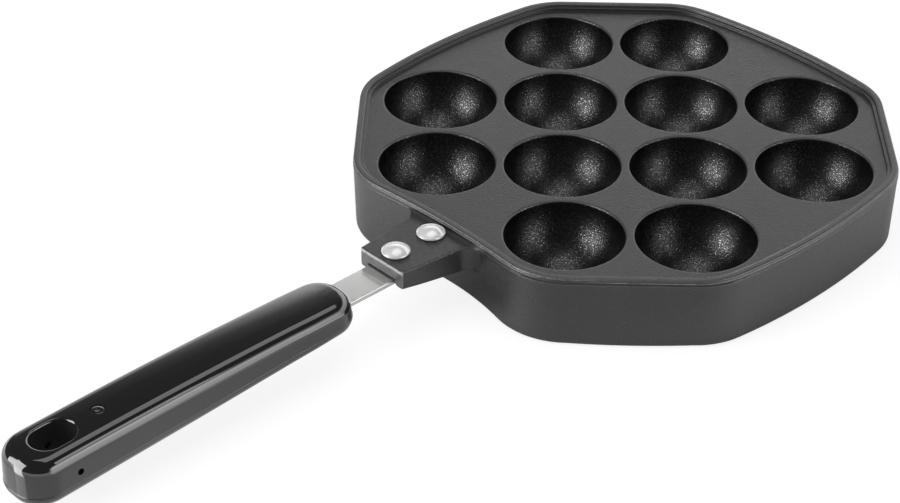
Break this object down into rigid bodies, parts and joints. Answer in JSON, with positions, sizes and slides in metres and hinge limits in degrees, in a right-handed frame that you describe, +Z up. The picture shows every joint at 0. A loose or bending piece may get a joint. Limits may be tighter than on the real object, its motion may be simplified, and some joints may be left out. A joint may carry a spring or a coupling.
{
  "type": "takoyaki maker",
  "caption": "Octagonal cast pan with round cups for cooking batter balls, on a riveted steel strap and a moulded handle with a hanging hole.",
  "frame": {"origin": "under the middle of the cup pattern, in the plane that the skirt stands on", "axes": "+Z up; -Y out along the handle, so +Y is the back of the pan; +X to the right, seen from the handle's end"},
  "size_m": [0.1926, 0.3729, 0.0281],
  "materials": {
    "coated_casting": "die cast, dark grey non-stick coating with a fine grain, satin",
    "strap_steel": "pale satin stainless steel",
    "rivet_steel": "polished",
    "grip_resin": "glossy black moulded phenolic"
  },
  "bodies": {
    "root": {"pan_body": "coated_casting", "handle_strap": "strap_steel", "rivet_outer": "rivet_steel", "rivet_inner": "rivet_steel", "grip": "grip_resin", "strap_pin": "grip_resin"}
  },
  "joints": []
}
